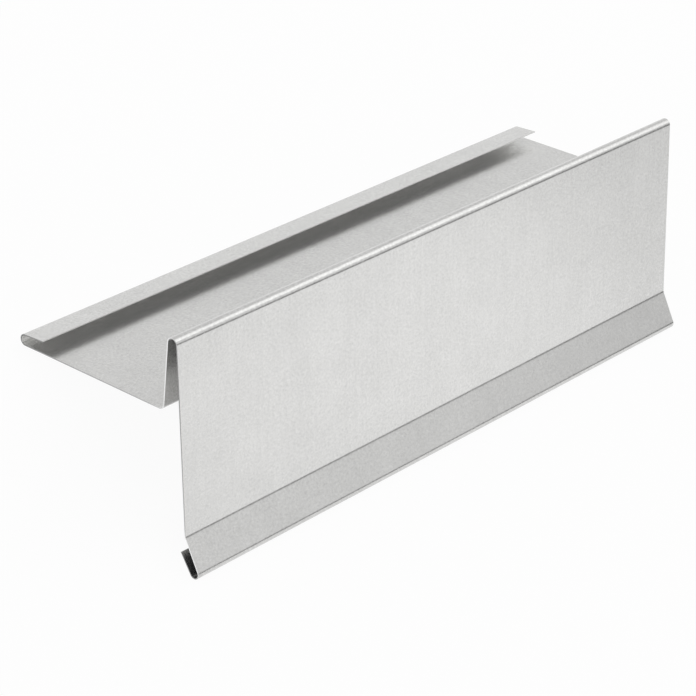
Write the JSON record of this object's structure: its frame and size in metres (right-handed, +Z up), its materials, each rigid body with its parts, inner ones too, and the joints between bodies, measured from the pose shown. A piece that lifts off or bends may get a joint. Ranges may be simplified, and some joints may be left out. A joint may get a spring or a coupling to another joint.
{
  "type": "verge flashing",
  "caption": "Folded sheet-metal verge flashing: a roof flange with a water fold, an upstand and round bead, a tall fascia and a kicked drip edge with an open hem.",
  "frame": {"origin": "middle of the length and of the width, at the floor that the flashing rests on", "axes": "+X along the verge, +Y towards the roof side, +Z up as the flashing rests on its water fold and its hem; installed, it is turned 36 degrees about X so that the flange is level"},
  "size_m": [0.42, 0.1648, 0.1038],
  "materials": {
    "zinc_coated_sheet": "matt zinc-coated sheet, pale grey, with a fine speckle"
  },
  "bodies": {
    "root": {"folded_sheet": "zinc_coated_sheet"}
  },
  "joints": []
}
